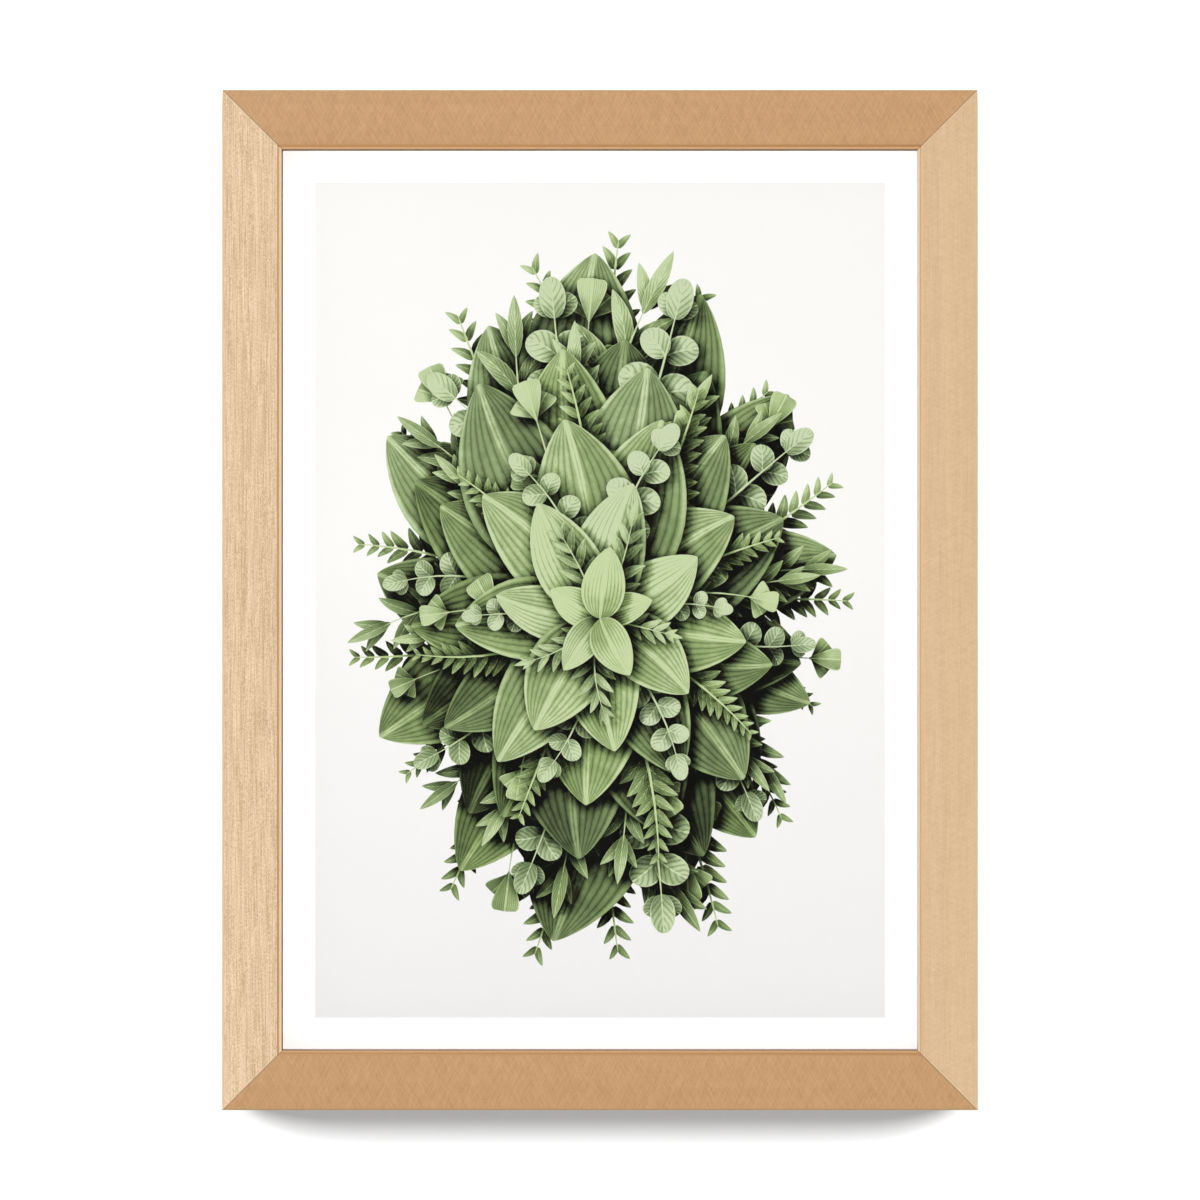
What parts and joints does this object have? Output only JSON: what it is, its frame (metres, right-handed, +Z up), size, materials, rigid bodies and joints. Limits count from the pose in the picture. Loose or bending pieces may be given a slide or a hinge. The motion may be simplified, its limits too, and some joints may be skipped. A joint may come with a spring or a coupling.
{
  "type": "framed botanical print",
  "caption": "Flat light-wood picture frame with mitred corners, a bordered leaf print under clear glass, and a back held in by turn buttons, for hanging on a wall.",
  "frame": {"origin": "apex of the hanger plate's middle notch, half way through the strip, where the wall nail carries the frame", "axes": "+X to the right seen from the front, +Y from the picture's face to the wall, +Z up along the frame's height"},
  "size_m": [0.2426, 0.0178, 0.3275],
  "materials": {
    "rail_wood": "light brown wood, satin, fine diagonal sanding marks",
    "stile_wood": "pale wood, satin, fine straight grain along the length",
    "zinc_steel": "bright zinc plate",
    "glass": "clear, polished",
    "print_paper": "matt print with a white border and green leaves",
    "grey_card": "plain corrugated card",
    "hardboard": "brown pressed fibre board, matt",
    "button_steel": "stamped steel, zinc plated",
    "brass_plate": "brass-plated steel strip",
    "soft_pad": "soft translucent pad"
  },
  "bodies": {
    "picture": {"rail_top": "rail_wood", "rail_bottom": "rail_wood", "stile_left": "stile_wood", "stile_right": "stile_wood", "corner_nail_top_left": "zinc_steel", "corner_nail_top_right": "zinc_steel", "corner_nail_bottom_left": "zinc_steel", "corner_nail_bottom_right": "zinc_steel", "glazing": "glass", "print_sheet": "print_paper", "filler_card": "grey_card", "backing_board": "hardboard", "button_screw_left_upper": "zinc_steel", "button_screw_left_lower": "zinc_steel", "button_screw_right_upper": "zinc_steel", "button_screw_right_lower": "zinc_steel", "sawtooth_hanger": "brass_plate", "hanger_pin_left": "zinc_steel", "hanger_pin_right": "zinc_steel", "bumper_left": "soft_pad", "bumper_right": "soft_pad"},
    "button_left_upper": {"turn_button_left_upper": "button_steel"},
    "button_left_lower": {"turn_button_left_lower": "button_steel"},
    "button_right_upper": {"turn_button_right_upper": "button_steel"},
    "button_right_lower": {"turn_button_right_lower": "button_steel"}
  },
  "joints": [
    {"name": "swivel_left_upper", "type": "hinge", "parent": "picture", "child": "button_left_upper", "pos_m": [-0.1135, -0.00215, -0.06867], "axis": [0, 1, 0], "range_deg": [-90, 90]},
    {"name": "swivel_left_lower", "type": "hinge", "parent": "picture", "child": "button_left_lower", "pos_m": [-0.1135, -0.00215, -0.23867], "axis": [0, 1, 0], "range_deg": [-90, 90]},
    {"name": "swivel_right_upper", "type": "hinge", "parent": "picture", "child": "button_right_upper", "pos_m": [0.1135, -0.00215, -0.06867], "axis": [0, 1, 0], "range_deg": [-90, 90]},
    {"name": "swivel_right_lower", "type": "hinge", "parent": "picture", "child": "button_right_lower", "pos_m": [0.1135, -0.00215, -0.23867], "axis": [0, 1, 0], "range_deg": [-90, 90]}
  ]
}
